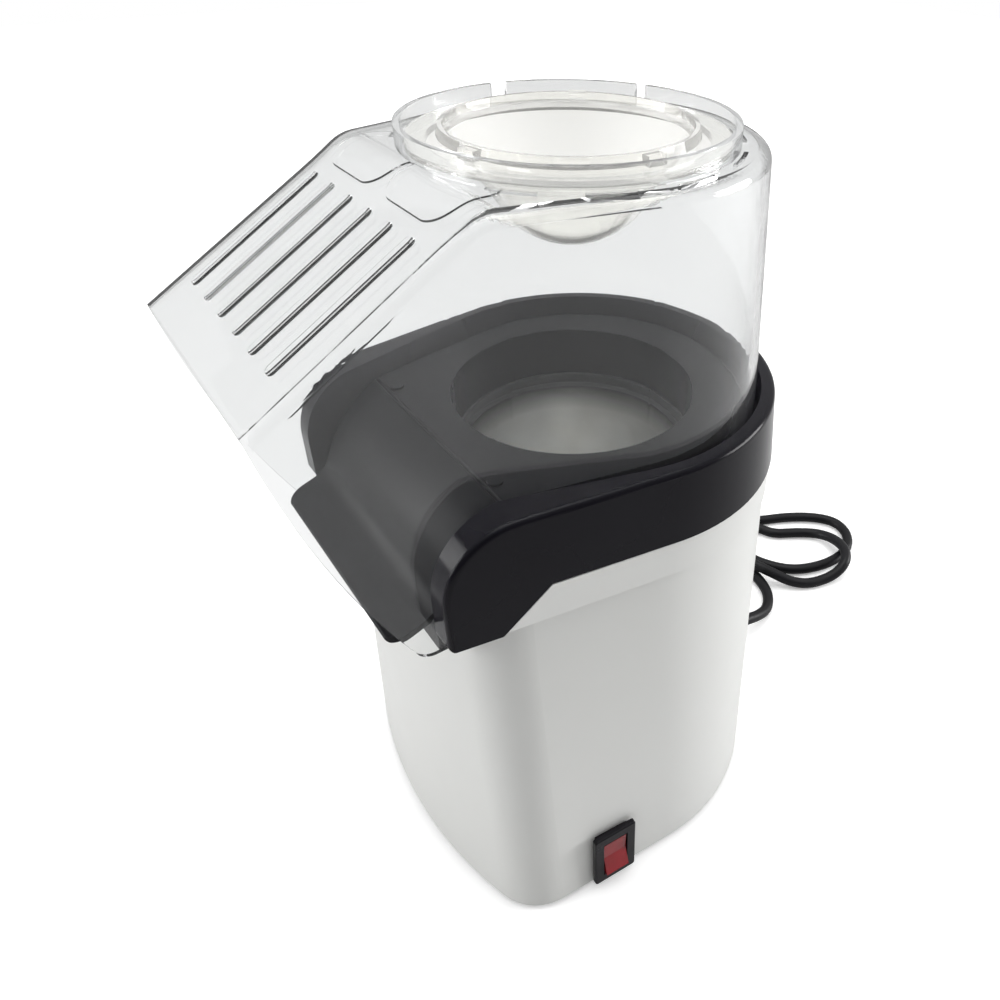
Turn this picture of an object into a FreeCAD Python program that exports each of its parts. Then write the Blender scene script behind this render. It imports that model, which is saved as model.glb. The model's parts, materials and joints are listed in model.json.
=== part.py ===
import FreeCAD, Part
import math
import os

# Hot-air popcorn maker, millimetres, +Z up, front (spout) towards -Y, switch on the +X side.
# Origin: on the surface the feet stand on, below the middle of the tower.

V = FreeCAD.Vector

# ---------------------------------------------------------------- driving dimensions
SHELL_Y = 26.0          # axis of the round back of the tower, trim band, deck and lid
AXIS_Y = 22.0           # axis of chamber, heater, fan and measuring cup
BASE_Z = 3.0            # lower edge of the housing, above the feet
LEDGE_Z = 156.0         # small ledge round the tower, below the trim band
NECK_Z = 169.5          # above this the housing narrows to slip inside the trim band
DECK_Z = 192.0          # flat deck round the chamber mouth
BAND_TOP_Z = 196.5      # rim of the trim band
LID_TOP_Z = 280.0       # flat top of the lid
WALL = 2.2              # moulded plastic wall

CREASE_Y = -35.0        # where the flat deck ends and the chute starts
CREASE_DROP = 28.0      # slope of the chute at the crease, degrees
DROP_R = 48.0           # radius of the curved chute
LIP_Z = 144.0           # lower lip of the chute
DROP_Y = CREASE_Y + DROP_R * math.sin(math.radians(CREASE_DROP))
DROP_Z = DECK_Z - DROP_R * math.cos(math.radians(CREASE_DROP))
GROOVE = 7.0            # depth of the groove that takes the lid's walls
FLANGE = 2.0            # thickness of the groove's floor
TRAY_GAP = 0.4          # between the groove's floor and the front wall of the tower under it
CREASE_LINE_R = 0.8     # half-round line pressed along the crease
LIP_TIP_Y = -74.8       # top edge of the kick lip at the foot of the chute
LIP_TIP_Z = 155.4
LIP_PITCH = 18.5
LIP_BLEND = 12.0
LIP_T = 2.2
LIP_CORNER = 7.0
LUG_R = 50.8            # screw lugs under the deck

DECK_R = 57.0           # deck outline: round back, half width at the crease
DECK_HALF = 45.2
LID_R_TOP = 59.6        # lid outline at the top and, with its draft, at GUIDE_Z
LID_HALF_TOP = 45.6
LID_R_LOW = 67.2
LID_HALF_LOW = 49.2
GUIDE_Z = 140.0
LID_WALL = 2.2
LID_BEND_Y = -39.0      # the lid's sides run straight forward from here
LID_EASE = 60.0         # radius that eases that bend
CREASE_TOP_Y = -34.1    # where the flat top and the sloping hood would meet
CREASE_ROUND = 16.0     # radius between them
HOOD_TIP_Y = -100.8     # front tip of the sloping hood
HOOD_TIP_Z = 239.1
RIB_SPACING = 12.95     # six raised ribs on the hood
RIB_START = 15.2
RIB_LENGTH = 49.0
RIB_W = 3.6
RIB_H = 1.2
PAD_GAP = 1.5           # two low pads on the lid's top that fold over onto the hood
PAD_HALF = 36.0
PAD_FRONT_Y = -43.0
PAD_BACK_Y = -20.0
PAD_CORNER = 8.0
PAD_H = 0.5
SLOT_COUNT = 11         # arc-shaped steam slots round the collar
SLOT_R = 53.9
SLOT_W = 1.4
SLOT_ARC = 15.0
SLOT_FIRST = -58.0
SLOT_STEP = 28.0

BAND_IN_R = 66.0        # inside of the trim band
BAND_IN_HALF = 50.0
BAND_R_LOW = 74.2       # outside of the trim band at BAND_LOW_Z and at its top
BAND_R_TOP = 70.9
BAND_HALF_LOW = 59.4
BAND_HALF_TOP = 58.2
BAND_LOW_Z = 155.3
BAND_FRONT_Y = -62.5
BAND_ROUND = 2.0
CHEEK_IN_HALF = 57.2    # half width of the housing between the band's cheeks
BAND_SKIRT = 1.6

MOUTH_R = 44.5          # chamber mouth in the deck
MOUTH_DEPTH = 20.0      # depth of the black mouth tube
CHAMBER_R = 43.2        # popping chamber, inside
CHAMBER_FLOOR_Z = 106.0
SHEET = 0.8             # aluminium sheet of the chamber

COLLAR_R = 53.0         # ring on the lid that holds the measuring cup
COLLAR_TOP_Z = 286.5
COLLAR_NOTCHES = [(-95.5, 5.6), (-153.0, 3.8)]     # turn in degrees and width
LID_HOLE_R = 44.0
CUP_RIM_R = 40.0        # raised rim round the measuring cup
CUP_RIM_Z = 285.2
CUP_BALL_R = 29.3       # round bottom of the cup
CUP_BALL_Z = 277.0
CUP_WALL = 1.8
CUP_FLANGE_R = 50.2
CUP_LUGS = [-75.5, -0.5, 142.0]

MOTOR_R = 14.5
MOTOR_Z0 = 24.0
MOTOR_Z1 = 52.0
SHAFT_R = 1.0
FAN_Z = 60.0
FAN_R = 42.0

SHIELD_TOP_Z = 165.3     # sheet-metal tube round the chamber
HEATER_RINGS = [14.0, 23.0, 32.0]
DUCT_FEET = [(-38.0, -7.0), (38.0, -7.0), (-38.0, 51.0), (38.0, 51.0)]
BRACKET_PLACES = [(0.0, AXIS_Y - 27.0), (0.0, AXIS_Y + 27.0)]
POST_PLACES = [(-52.0, -27.0), (52.0, -27.0), (-55.0, 49.0), (55.0, 49.0)]
FOOT_PLACES = [(-48.0, -33.0), (48.0, -33.0), (-50.0, 63.0), (50.0, 63.0)]

SWITCH_Y = -10.0        # middle of the switch
SWITCH_Z = 18.5
SWITCH_FACE_X = 74.3
SWITCH_TURN = -4.6      # the side wall turns inward towards the front
SWITCH_LEAN = -1.8      # and leans inward towards the top
BEZEL_W = 19.0
BEZEL_H = 29.0
CUTOUT_W = 15.0
CUTOUT_H = 24.0
ROCKER_W = 10.4
ROCKER_H = 17.6
ROCKER_AXIS_IN = 1.5    # the rocker's pin lies this far inside the wall's face

CORD_EXIT_X = 9.0       # where the cord leaves the back wall
CORD_EXIT_Z = 14.0
BACK_Y = SHELL_Y + 76.2
WIRE_D = 1.9
CORD_D = 6.0
FLOOR_CORD_Z = CORD_D / 2 + 0.2
COIL_X = -118.0
COIL_Y = 157.0
COIL_R = 32.0
COIL_TURNS = 2.5
COIL_PITCH = 6.2


# ---------------------------------------------------------------- helpers
def line(a, b):
    return Part.LineSegment(a, b).toShape()


def arc(a, m, b):
    return Part.Arc(a, m, b).toShape()


def mirrored(p):
    return V(-p.x, p.y, p.z)


def box(x0, x1, y0, y1, z0, z1):
    return Part.makeBox(x1 - x0, y1 - y0, z1 - z0, V(x0, y0, z0))


def rod(r, z0, z1, x=0.0, y=AXIS_Y):
    return Part.makeCylinder(r, z1 - z0, V(x, y, z0))


def ring(r_out, r_in, z0, z1, x=0.0, y=AXIS_Y):
    return rod(r_out, z0, z1, x, y).cut(rod(r_in, z0 - 1, z1 + 1, x, y))


def turned(outline, x=0.0, y=AXIS_Y):
    """Solid of revolution about a vertical axis; outline is a closed list of (r, z)."""
    points = [V(x + r, y, z) for r, z in outline]
    points.append(points[0])
    face = Part.Face(Part.makePolygon(points))
    return face.revolve(V(x, y, 0), V(0, 0, 1), 360)


def fused(shapes):
    shapes = list(shapes)
    if len(shapes) == 1:
        return shapes[0]
    return shapes[0].multiFuse(shapes[1:]).removeSplitter()


def side_prism(edges, half=130.0):
    """Extrude a closed outline that lies in the plane x = -half right across the object."""
    return Part.Face(Part.Wire(edges)).extrude(V(2 * half, 0, 0))


def side_point(y, z, half=130.0):
    return V(-half, y, z)


def closed_plan(z, radius, half, front, corner, bow):
    """Tower outline: round back, tapering sides, rounded front corners, slightly bowed front."""
    centre = V(0, SHELL_Y, z)
    corner_centre = V(half - corner, front + corner, z)
    d = corner_centre - centre
    angle = math.atan2(d.y, d.x) + math.acos((radius - corner) / d.Length)
    n = V(math.cos(angle), math.sin(angle), 0)
    side_back = centre + n * radius
    side_front = corner_centre + n * corner
    bow_centre = V(0, corner_centre.y + math.sqrt((bow - corner) ** 2 - corner_centre.x ** 2), z)
    m = (corner_centre - bow_centre).normalize()
    front_end = corner_centre + m * corner
    corner_mid = corner_centre + (n + m).normalize() * corner
    back = V(0, SHELL_Y + radius, z)
    nose = V(0, bow_centre.y - bow, z)
    return Part.Wire([
        arc(side_back, back, mirrored(side_back)),
        line(mirrored(side_back), mirrored(side_front)),
        arc(mirrored(side_front), mirrored(corner_mid), mirrored(front_end)),
        arc(mirrored(front_end), nose, front_end),
        arc(front_end, corner_mid, side_front),
        line(side_front, side_back)])


def open_plan(z, radius, half, bend_y=LID_BEND_Y, front_y=-130.0, ease=0.0):
    """Outline with a round back whose sides taper to the bend and then run straight forward."""
    centre = V(0, SHELL_Y, z)
    bend = V(half, bend_y, z)
    d = bend - centre
    angle = math.atan2(d.y, d.x) + math.acos(radius / d.Length)
    side_back = centre + V(math.cos(angle), math.sin(angle), 0) * radius
    front = V(half, front_y, z)
    back = V(0, SHELL_Y + radius, z)
    if ease:
        rearward = (side_back - bend).normalize()
        forward = V(0, -1, 0)
        half_angle = rearward.getAngle(forward) / 2
        leave = bend + rearward * (ease / math.tan(half_angle))
        arrive = bend + forward * (ease / math.tan(half_angle))
        middle = bend + (rearward + forward).normalize() * (ease / math.sin(half_angle) - ease)
        return Part.Wire([
            arc(side_back, back, mirrored(side_back)),
            line(mirrored(side_back), mirrored(leave)),
            arc(mirrored(leave), mirrored(middle), mirrored(arrive)),
            line(mirrored(arrive), mirrored(front)),
            line(mirrored(front), front),
            line(front, arrive),
            arc(arrive, middle, leave),
            line(leave, side_back)])
    return Part.Wire([
        arc(side_back, back, mirrored(side_back)),
        line(mirrored(side_back), mirrored(bend)),
        line(mirrored(bend), mirrored(front)),
        line(mirrored(front), front),
        line(front, bend),
        line(bend, side_back)])


def loft(lower, upper):
    return Part.makeLoft([lower, upper], True, True)


def raised(wire, height):
    return Part.Face(wire).extrude(V(0, 0, height))


def drop_prism(offset, low_z=LIP_Z, back_y=120.0):
    """Everything under the deck-and-chute surface after moving that surface outward by offset."""
    r = DROP_R + offset
    top = DECK_Z + offset
    knee_y = DROP_Y - math.sqrt(r * r - (top - DROP_Z) ** 2)
    a0 = math.atan2(top - DROP_Z, knee_y - DROP_Y)
    a1 = (a0 + math.pi) / 2
    knee = side_point(knee_y, top)
    middle = side_point(DROP_Y + r * math.cos(a1), DROP_Z + r * math.sin(a1))
    toe = side_point(DROP_Y - r, DROP_Z)
    corners = [toe, side_point(DROP_Y - r, low_z), side_point(back_y, low_z), side_point(back_y, top), knee]
    edges = [arc(knee, middle, toe)]
    for a, b in zip(corners, corners[1:]):
        edges.append(line(a, b))
    return side_prism(edges)


# ---------------------------------------------------------------- tower
def under_chute():
    """Space the tower may fill: below the groove's floor, and everything lower than the chute's toe."""
    clear = drop_prism(-GROOVE - FLANGE - TRAY_GAP, low_z=-5.0)
    return clear.fuse(box(-130, 130, -90, 120, -5, LIP_Z - 1))


def lower_tower(inset, top_z):
    t = inset
    foot = closed_plan(BASE_Z, 76.5 - t, 72.0 - t, -53.0 + t, 22.0 - t, 190.0 - t)
    head = closed_plan(LEDGE_Z, 71.8 - t, 60.2 - t, -51.6 + t, 22.6 - t, 420.0 - t)
    tower = loft(foot, head)
    if top_z > LEDGE_Z:
        tower = tower.fuse(raised(head, top_z - LEDGE_Z))
    return tower


def upper_tower(inset, collar_z, neck_z):
    """Square-cornered collar above the ledge, then the narrower neck that the trim band hides."""
    t = inset
    collar = raised(closed_plan(collar_z, 72.6 - t, 62.0 - t, -51.4 + t, 6.0 - t * 0.8, 420.0 - t),
                    NECK_Z - t - collar_z)
    neck = raised(closed_plan(neck_z, 69.8 - t, 59.2 - t, -50.0 + t, 5.0 - t * 0.8, 420.0 - t), 30.0)
    return collar.fuse(neck)


def narrowed(shape, half, grow):
    """Takes off what lies outside that half width in the space of the trim band's front cheeks."""
    low = BAND_LOW_Z - 0.4 - grow
    room = side_prism([
        line(side_point(-90, low), side_point(-45.7 + grow, low)),
        line(side_point(-45.7 + grow, low), side_point(-29.2 + grow, 169.7 - grow)),
        line(side_point(-29.2 + grow, 169.7 - grow), side_point(-29.2 + grow, 215)),
        line(side_point(-29.2 + grow, 215), side_point(-90, 215)),
        line(side_point(-90, 215), side_point(-90, low))])
    return shape.cut(room.cut(box(-half, half, -140, 140, 90, 230)))


def body_envelope():
    """Outside of the housing as one solid block."""
    block = lower_tower(0.0, LEDGE_Z).fuse(upper_tower(0.0, LEDGE_Z, NECK_Z - 0.5))
    return narrowed(block.common(under_chute()), CHEEK_IN_HALF, 0.0)


def body_hollow():
    """Room inside the housing, open at the bottom and at the top."""
    below = closed_plan(BASE_Z - 2, 76.4 - WALL, 71.9 - WALL, -53 + WALL, 22 - WALL, 190 - WALL)
    room = lower_tower(WALL, LEDGE_Z + WALL + 1.0).fuse(raised(below, 2.5))
    room = room.fuse(upper_tower(WALL, LEDGE_Z + WALL, NECK_Z - WALL - 0.5))
    return narrowed(room, CHEEK_IN_HALF - WALL, WALL)


def on_side_wall(shape):
    """Carry a shape drawn with x outward, y along and z up the wall to its place on the side."""
    turn = FreeCAD.Rotation(V(0, 0, 1), SWITCH_TURN)
    lean = FreeCAD.Rotation(V(0, 1, 0), SWITCH_LEAN)
    placed = shape.copy()
    placed.Placement = FreeCAD.Placement(V(SWITCH_FACE_X, SWITCH_Y, SWITCH_Z), turn.multiply(lean))
    return placed


def make_housing():
    shell = body_envelope().cut(body_hollow())
    cutout = on_side_wall(box(-9, 9, -CUTOUT_W / 2, CUTOUT_W / 2, -CUTOUT_H / 2, CUTOUT_H / 2))
    cord_hole = Part.makeCylinder(4.6, 30, V(CORD_EXIT_X, BACK_Y - 15, CORD_EXIT_Z), V(0, 1, 0))
    posts = []
    for x, y in POST_PLACES:
        post = ring(3.6, 1.25, 7.4, 40.0, x, y)
        wall_side = 1 if x > 0 else -1
        rib = box(min(x, x + wall_side * 20), max(x, x + wall_side * 20), y - 0.8, y + 0.8, 7.4, 40.0)
        rib = rib.cut(rod(2.4, 0, 60, x, y)).common(lower_tower(0.5, LEDGE_Z))
        posts.append(post.fuse(rib))
    return fused([shell.cut(cutout).cut(cord_hole)] + posts)


def make_bottom_cover():
    plate = raised(closed_plan(BASE_Z + 0.2, 73.9, 69.4, -50.4, 19.4, 187.4), 3.0)
    rim = raised(closed_plan(BASE_Z + 3.2, 73.4, 68.9, -49.9, 18.9, 186.9), 5.0)
    rim = rim.cut(raised(closed_plan(BASE_Z + 2.2, 71.9, 67.4, -48.4, 17.4, 185.4), 8.0))
    keep_clear = on_side_wall(box(-12, 3, -13, 13, -17, 17)).fuse(box(0, 20, 77, 107, 6.5, 20))
    for x, y in POST_PLACES:
        keep_clear = keep_clear.fuse(rod(5.0, 6.3, 12, x, y)).fuse(
            box(min(x, x * 1.6), max(x, x * 1.6), y - 2, y + 2, 6.3, 12))
    plate = plate.cut(on_side_wall(box(-9, 3, -BEZEL_W / 2 - 1, BEZEL_W / 2 + 1, -16, 16)))
    slots = []
    for k in range(-4, 5):
        length = 2 * math.sqrt(34.0 ** 2 - (k * 7.0) ** 2)
        slots.append(box(-length / 2, length / 2, AXIS_Y + k * 7.0 - 1.6, AXIS_Y + k * 7.0 + 1.6, 0, 10))
    holes = [rod(1.8, 0, 12, x, y) for x, y in POST_PLACES]
    holes += [rod(3.2, 0, 4.6, x, y) for x, y in POST_PLACES]
    holes += [rod(2.1, 0, 12, x, y) for x, y in FOOT_PLACES]
    pillars = [ring(3.4, 1.2, BASE_Z + 3.2, 16.0, x, y) for x, y in BRACKET_PLACES]
    return fused([plate, rim.cut(keep_clear)] + pillars).cut(fused(slots + holes))


def make_feet():
    feet = []
    for x, y in FOOT_PLACES:
        pad = turned([(0, 0), (6.5, 0), (7.5, 1.0), (7.5, 3.2), (2.1, 3.2), (2.1, 6.2), (3.2, 6.2),
                      (2.2, 8.6), (0, 8.6)], x, y)
        feet.append(pad)
    return Part.makeCompound(feet)


def screw(r, head_r, head_h, x, y, z_head, length, up=1):
    """Countersunk-free screw whose head sits at z_head and whose shank runs up or down from it."""
    if up > 0:
        return rod(head_r, z_head, z_head + head_h, x, y).fuse(rod(r, z_head + head_h, z_head + length, x, y))
    return rod(head_r, z_head - head_h, z_head, x, y).fuse(rod(r, z_head - length, z_head - head_h, x, y))


def make_cover_screws():
    return Part.makeCompound([screw(1.2, 3.0, 1.4, x, y, 3.2, 14.0) for x, y in POST_PLACES])


# ---------------------------------------------------------------- deck and trim band
def groove_floor():
    """Floor of the groove round the deck; at the back it reaches out over the housing's neck."""
    floor = drop_prism(-GROOVE).cut(drop_prism(-GROOVE - FLANGE, 90))
    floor = floor.common(raised(open_plan(100, 69.8, BAND_IN_HALF - 0.3), 100))
    return floor.cut(raised(open_plan(90, DECK_R - WALL, DECK_HALF - WALL, CREASE_Y), 120))


def kick_lip():
    """Shallow lip at the foot of the chute, blended into the drop, that throws the popcorn clear."""
    pitch = math.radians(LIP_PITCH)
    ey, ez = math.cos(pitch), math.sin(pitch)
    side_y, side_z = LIP_TIP_Y - DROP_Y - LIP_BLEND * ez, LIP_TIP_Z - DROP_Z + LIP_BLEND * ey
    b = side_y * ey + side_z * ez
    run = -b - math.sqrt(b * b - side_y ** 2 - side_z ** 2 + (DROP_R + LIP_BLEND) ** 2)
    cy, cz = DROP_Y + side_y + run * ey, DROP_Z + side_z + run * ez
    share = DROP_R / (DROP_R + LIP_BLEND)
    start = side_point(DROP_Y + (cy - DROP_Y) * share, DROP_Z + (cz - DROP_Z) * share)
    joint = side_point(LIP_TIP_Y + run * ey, LIP_TIP_Z + run * ez)
    bisector = (start + joint) * 0.5 - side_point(cy, cz)
    middle = side_point(cy, cz) + bisector.normalize() * LIP_BLEND
    tip = side_point(LIP_TIP_Y, LIP_TIP_Z)
    under = side_point(LIP_TIP_Y + LIP_T * ez, LIP_TIP_Z - LIP_T * ey)
    nose = side_point(LIP_TIP_Y + LIP_T / 2 * (ez - ey), LIP_TIP_Z - LIP_T / 2 * (ey + ez))
    root = under + V(0, ey, ez) * 13.0
    inner = start + V(0, 1.1, -1.0)
    lip = side_prism([arc(start, middle, joint), line(joint, tip), arc(tip, nose, under), line(under, root),
                      line(root, inner), line(inner, start)])
    plan = box(-DECK_HALF, DECK_HALF, LIP_TIP_Y - 1.2, -40, 140, 200)
    corners = []
    for edge in plan.Edges:
        first, last = edge.Vertexes[0].Point, edge.Vertexes[-1].Point
        if first.z != last.z and first.y < -60:
            corners.append(edge)
    return lip.common(plan.makeFillet(LIP_CORNER, corners))


def make_deck_tray():
    skin = drop_prism(0).common(raised(open_plan(100, DECK_R, DECK_HALF, CREASE_Y), 100))
    hollow = drop_prism(-WALL, LIP_Z - 1).common(
        raised(open_plan(90, DECK_R - WALL, DECK_HALF - WALL, CREASE_Y), 120))
    cap = skin.cut(hollow).cut(drop_prism(-GROOVE - FLANGE, 90))
    lip = box(-DECK_HALF, DECK_HALF, DROP_Y - DROP_R + 0.01, DROP_Y - DROP_R + 8.6, LIP_Z, LIP_Z + WALL)
    tube = ring(MOUTH_R + 2.0, MOUTH_R, DECK_Z - MOUTH_DEPTH, DECK_Z)
    tray = fused([cap, groove_floor(), lip]).cut(body_envelope())
    tray = tray.cut(rod(MOUTH_R + 0.5, 100, 250)).fuse(tube)
    bosses = []
    for x in (-35.3, 35.3):
        bosses.append(rod(2.6, DECK_Z - 0.5, DECK_Z + 0.7, x, CREASE_Y + 3.6))
    lugs = []
    for k in range(3):
        a = math.radians(90 + 120 * k)
        lugs.append(ring(3.0, 1.2, 168.4, DECK_Z - 1.0, LUG_R * math.cos(a), AXIS_Y + LUG_R * math.sin(a)))
    crease_end = V(-DECK_HALF, CREASE_Y, DECK_Z + 0.1)
    crease = Part.makeCylinder(CREASE_LINE_R, 2 * DECK_HALF, crease_end, V(1, 0, 0))
    return fused([tray.cut(crease), kick_lip()] + bosses + lugs)


def band_profile(inset=0.0):
    """Side outline of the trim band: flat rim, rounded shoulder, front drop with a slanted back."""
    t = inset
    front = BAND_FRONT_Y + t
    top = BAND_TOP_Z - t
    r = 25.0 - t
    k = r * math.sqrt(0.5)
    low = -8.0 if inset else 0.0
    shoulder = side_point(front + r, top)
    cheek = side_point(front, top - r)
    middle = side_point(front + r - k, top - r + k)
    points = [cheek, side_point(front, BAND_LOW_Z + low), side_point(-46.0 + t, BAND_LOW_Z + low),
              side_point(-29.5 + t, 170.0 + low), side_point(110, 170.0 + low), side_point(110, top),
              shoulder]
    edges = [arc(shoulder, middle, cheek)]
    for a, b in zip(points, points[1:]):
        edges.append(line(a, b))
    return side_prism(edges)


def band_outside(inset=0.0):
    t = inset
    return loft(open_plan(BAND_LOW_Z - 12, BAND_R_LOW - t + 0.9, BAND_HALF_LOW - t + 0.4, BAND_FRONT_Y, -90),
                open_plan(BAND_TOP_Z + 1, BAND_R_TOP - t, BAND_HALF_TOP - t, BAND_FRONT_Y, -90))


def rounded_rim(block):
    """Rounds the band's outer edges: round the top, down both cheeks and along the front corner."""
    edges = []
    for edge in block.Edges:
        middle = edge.valueAt((edge.FirstParameter + edge.LastParameter) / 2)
        rim = middle.z > BAND_TOP_Z - 0.2 and (middle.y > 0 or abs(middle.x) > 50)
        cheek = middle.y < -50 and middle.z > BAND_LOW_Z + 5 and abs(middle.x) > 50
        toe = middle.y < BAND_FRONT_Y + 0.1 and middle.z < BAND_LOW_Z + 0.1
        if rim or cheek or toe:
            edges.append(edge)
    return block.makeFillet(BAND_ROUND, edges)


def make_trim_band():
    inside = raised(open_plan(100, BAND_IN_R, BAND_IN_HALF), 120)
    inner_wall = raised(open_plan(100, BAND_IN_R + 1.7, BAND_IN_HALF + 1.8), 120)
    block = rounded_rim(band_profile().common(band_outside())).cut(inside)
    cavity = band_profile(1.8).common(band_outside(BAND_SKIRT)).cut(inner_wall)
    under_rim = side_prism([
        line(side_point(-33, 100), side_point(110, 100)),
        line(side_point(110, 100), side_point(110, DECK_Z - GROOVE)),
        line(side_point(110, DECK_Z - GROOVE), side_point(-33, DECK_Z - GROOVE)),
        line(side_point(-33, DECK_Z - GROOVE), side_point(-33, 100))])
    under_rim = under_rim.common(raised(open_plan(90, 69.85, BAND_IN_HALF + 2.6), 120))
    band = block.cut(cavity).cut(under_rim).cut(body_envelope()).cut(groove_floor())
    solids = sorted(band.Solids, key=lambda s: s.Volume)
    return solids[-1]


# ---------------------------------------------------------------- lid and measuring cup
def hood_slope():
    return math.atan2(LID_TOP_Z - HOOD_TIP_Z, CREASE_TOP_Y - HOOD_TIP_Y)


def top_outline(inset, front_y):
    """Flat top, rounded crease and hood down to front_y, moved inward by inset."""
    slope = hood_slope()
    centre_y = CREASE_TOP_Y + CREASE_ROUND * math.tan(slope / 2)
    centre_z = LID_TOP_Z - CREASE_ROUND
    r = CREASE_ROUND - inset
    flat = side_point(centre_y, centre_z + r)
    middle = side_point(centre_y - r * math.sin(slope / 2), centre_z + r * math.cos(slope / 2))
    sloped = side_point(centre_y - r * math.sin(slope), centre_z + r * math.cos(slope))
    end = side_point(front_y, sloped.z - (sloped.y - front_y) * math.tan(slope))
    return [line(side_point(110, LID_TOP_Z - inset), flat), arc(flat, middle, sloped), line(sloped, end)], end


def under_top(inset):
    """Everything below the lid's top and hood after moving them inward by inset."""
    edges, end = top_outline(inset, HOOD_TIP_Y - 30)
    low = side_point(end.y, 90)
    back = side_point(110, 90)
    start = side_point(110, LID_TOP_Z - inset)
    return side_prism(edges + [line(end, low), line(low, back), line(back, start)])


def lid_profile():
    """Side outline of the lid: flat top, sloping hood, bowed mouth, foot that follows the groove."""
    foot = 6.4
    r = DROP_R - foot
    low = DECK_Z - foot
    knee = side_point(DROP_Y - math.sqrt(r * r - (low - DROP_Z) ** 2), low)
    a0 = math.atan2(low - DROP_Z, knee.y - DROP_Y)
    a1 = (a0 + math.pi) / 2
    inner_mid = side_point(DROP_Y + r * math.cos(a1), DROP_Z + r * math.sin(a1))
    toe = side_point(DROP_Y - r, DROP_Z)
    heel = side_point(DROP_Y - r, 146.4)
    edges, tip = top_outline(0.0, HOOD_TIP_Y)
    return side_prism(edges + [
        arc(tip, side_point(-91.4, 202.0), side_point(-69.5, 151.5)),
        arc(side_point(-69.5, 151.5), side_point(-66.9, 147.9), side_point(-63.0, 146.4)),
        line(side_point(-63.0, 146.4), heel),
        line(heel, toe),
        arc(toe, inner_mid, knee),
        line(knee, side_point(110, low)),
        line(side_point(110, low), side_point(110, LID_TOP_Z))])


def lid_outside(inset=0.0):
    t = inset
    return loft(open_plan(GUIDE_Z, LID_R_LOW - t, LID_HALF_LOW - t, ease=LID_EASE),
                open_plan(LID_TOP_Z + 0.5, LID_R_TOP - t, LID_HALF_TOP - t, ease=LID_EASE))


def lid_shape(inset, round_r):
    profile = under_top(inset) if inset else lid_profile()
    solid = profile.common(lid_outside(inset))
    edges = []
    for edge in solid.Edges:
        middle = edge.valueAt((edge.FirstParameter + edge.LastParameter) / 2)
        ends_high = min(v.Point.z for v in edge.Vertexes) > HOOD_TIP_Z - 40
        along_top = middle.z > HOOD_TIP_Z and abs(middle.x) > 40 and middle.y < 67
        back_top = middle.z > LID_TOP_Z - 4 and middle.y > 67
        if ends_high and (along_top or back_top):
            edges.append(edge)
    return solid.makeFillet(round_r, edges)


def hood_ribs():
    slope = math.degrees(hood_slope())
    ribs = []
    for k in range(6):
        x = (k - 2.5) * RIB_SPACING
        w = RIB_W / 2
        rib = box(-w, w, -RIB_LENGTH + w, -w, -0.6, RIB_H)
        for y in (-w, -RIB_LENGTH + w):
            rib = rib.fuse(Part.makeCylinder(w, RIB_H + 0.6, V(0, y, -0.6)))
        rib = rib.removeSplitter()
        top_edges = [e for e in rib.Edges if min(v.Point.z for v in e.Vertexes) > RIB_H - 0.01]
        rib = rib.makeFillet(1.0, top_edges)
        rib.translate(V(0, -RIB_START, 0))
        rib.rotate(V(0, 0, 0), V(1, 0, 0), slope)
        rib.translate(V(x, CREASE_TOP_Y, LID_TOP_Z))
        ribs.append(rib)
    return ribs


def steam_slots():
    """Arc-shaped slots through the lid's top, round the collar."""
    slots = []
    for k in range(SLOT_COUNT):
        slot = Part.makeCylinder(SLOT_R + SLOT_W, 20, V(0, 0, LID_TOP_Z - 10), V(0, 0, 1), SLOT_ARC)
        slot = slot.cut(Part.makeCylinder(SLOT_R, 20, V(0, 0, LID_TOP_Z - 10)))
        slot.rotate(V(0, 0, 0), V(0, 0, 1), SLOT_FIRST + k * SLOT_STEP)
        slot.translate(V(0, AXIS_Y, 0))
        slots.append(slot)
    return slots


def top_pads():
    """Two low raised pads on the lid's top that fold over the crease above the hood."""
    skin = under_top(-PAD_H).cut(under_top(LID_WALL / 2)).cut(rod(COLLAR_R - 1, 250, 300))
    pads = []
    for low_x, high_x in ((PAD_GAP, PAD_HALF), (-PAD_HALF, -PAD_GAP)):
        plan = box(low_x, high_x, PAD_FRONT_Y, PAD_BACK_Y, LID_TOP_Z - 20, LID_TOP_Z + 10)
        upright = [e for e in plan.Edges if e.Vertexes[0].Point.z != e.Vertexes[-1].Point.z]
        pads.append(skin.common(plan.makeFillet(PAD_CORNER, upright)))
    return pads


def make_lid():
    shell = lid_shape(0.0, 4.0).cut(lid_shape(LID_WALL, 2.4))
    collar = ring(COLLAR_R, COLLAR_R - 2.0, LID_TOP_Z - 0.5, COLLAR_TOP_Z)
    for turn, width in COLLAR_NOTCHES:
        notch = box(-width / 2, width / 2, -60, -40, LID_TOP_Z + 0.6, COLLAR_TOP_Z + 1)
        notch.rotate(V(0, 0, 0), V(0, 0, 1), turn)
        notch.translate(V(0, AXIS_Y, 0))
        collar = collar.cut(notch)
    lid = shell.cut(rod(LID_HOLE_R, 270, 300)).cut(fused(steam_slots()))
    return fused([lid, collar] + hood_ribs() + top_pads())


def cup_point(r, z):
    return V(r, AXIS_Y, z)


def ball_point(radius, degrees):
    """Point of the cup's round bottom, by its angle from straight down."""
    a = math.radians(degrees)
    return cup_point(radius * math.sin(a), CUP_BALL_Z - radius * math.cos(a))


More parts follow.
